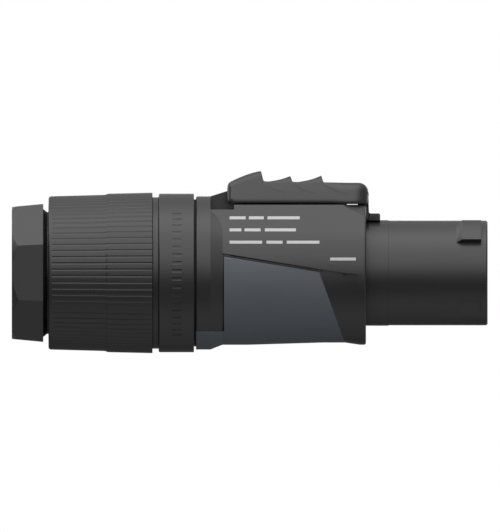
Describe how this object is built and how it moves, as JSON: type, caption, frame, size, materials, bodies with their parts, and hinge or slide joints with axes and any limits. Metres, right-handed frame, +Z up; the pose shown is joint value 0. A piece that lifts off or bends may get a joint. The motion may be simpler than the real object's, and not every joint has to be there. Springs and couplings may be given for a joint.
{
  "type": "locking power connector",
  "caption": "Round locking power connector for a cable end, with a sliding thumb latch, a mating barrel with bayonet lugs, and a ribbed cable clamp nut with flats for a spanner.",
  "frame": {"origin": "on the connector's axis, at the mating shoulder where the barrel leaves the body", "axes": "+X along the axis towards the mating end, +Z up through the middle of the latch, Y across"},
  "size_m": [0.0889, 0.03, 0.034],
  "materials": {
    "housing_plastic": "fine matt moulded grain",
    "slate_plastic": "satin moulded grain",
    "latch_plastic": "satin moulded grain",
    "nut_plastic": "fine matt moulded grain",
    "ring_plastic": "fine matt moulded grain",
    "grip_plastic": "matt ribbed grip",
    "insulator_plastic": "semi-matt moulded",
    "chuck_plastic": "natural nylon",
    "contact_brass": "drawn brass",
    "clamp_steel": "plated steel",
    "plated_steel": "plated steel",
    "seal_rubber": "matt rubber"
  },
  "bodies": {
    "housing": {"housing": "housing_plastic", "underside_shell": "slate_plastic", "latch_spring": "plated_steel", "contact_carrier": "insulator_plastic", "carrier_seal": "seal_rubber", "terminal_block": "insulator_plastic", "terminal_screws": "plated_steel", "line_contact": "contact_brass", "neutral_contact": "contact_brass", "earth_contact": "contact_brass", "line_clamp": "clamp_steel", "neutral_clamp": "clamp_steel", "earth_clamp": "clamp_steel", "body_seal": "seal_rubber"},
    "latch": {"latch_slide": "latch_plastic"},
    "chuck": {"cable_chuck": "chuck_plastic", "cable_seal": "seal_rubber"},
    "nut": {"gland_nut": "nut_plastic", "grip_sleeve": "grip_plastic", "collar_ring": "ring_plastic"}
  },
  "joints": [
    {"name": "latch_pull", "type": "slide", "parent": "housing", "child": "latch", "axis": [-1, 0, 0], "range_m": [0, 0.004], "stiffness_N_per_m": 600, "springref_m": -0.003, "deforming": ["latch_spring"]},
    {"name": "chuck_draw", "type": "slide", "parent": "housing", "child": "chuck", "axis": [-1, 0, 0], "range_m": [0, 0.01]},
    {"name": "nut_turn", "type": "hinge", "parent": "chuck", "child": "nut", "pos_m": [-0.05, 0, 0], "axis": [-1, 0, 0], "range_deg": [0, 1800]}
  ],
  "couplings": [
    {"joint": "chuck_draw", "follows": "nut_turn", "m_per_rad": 0.0003183}
  ]
}
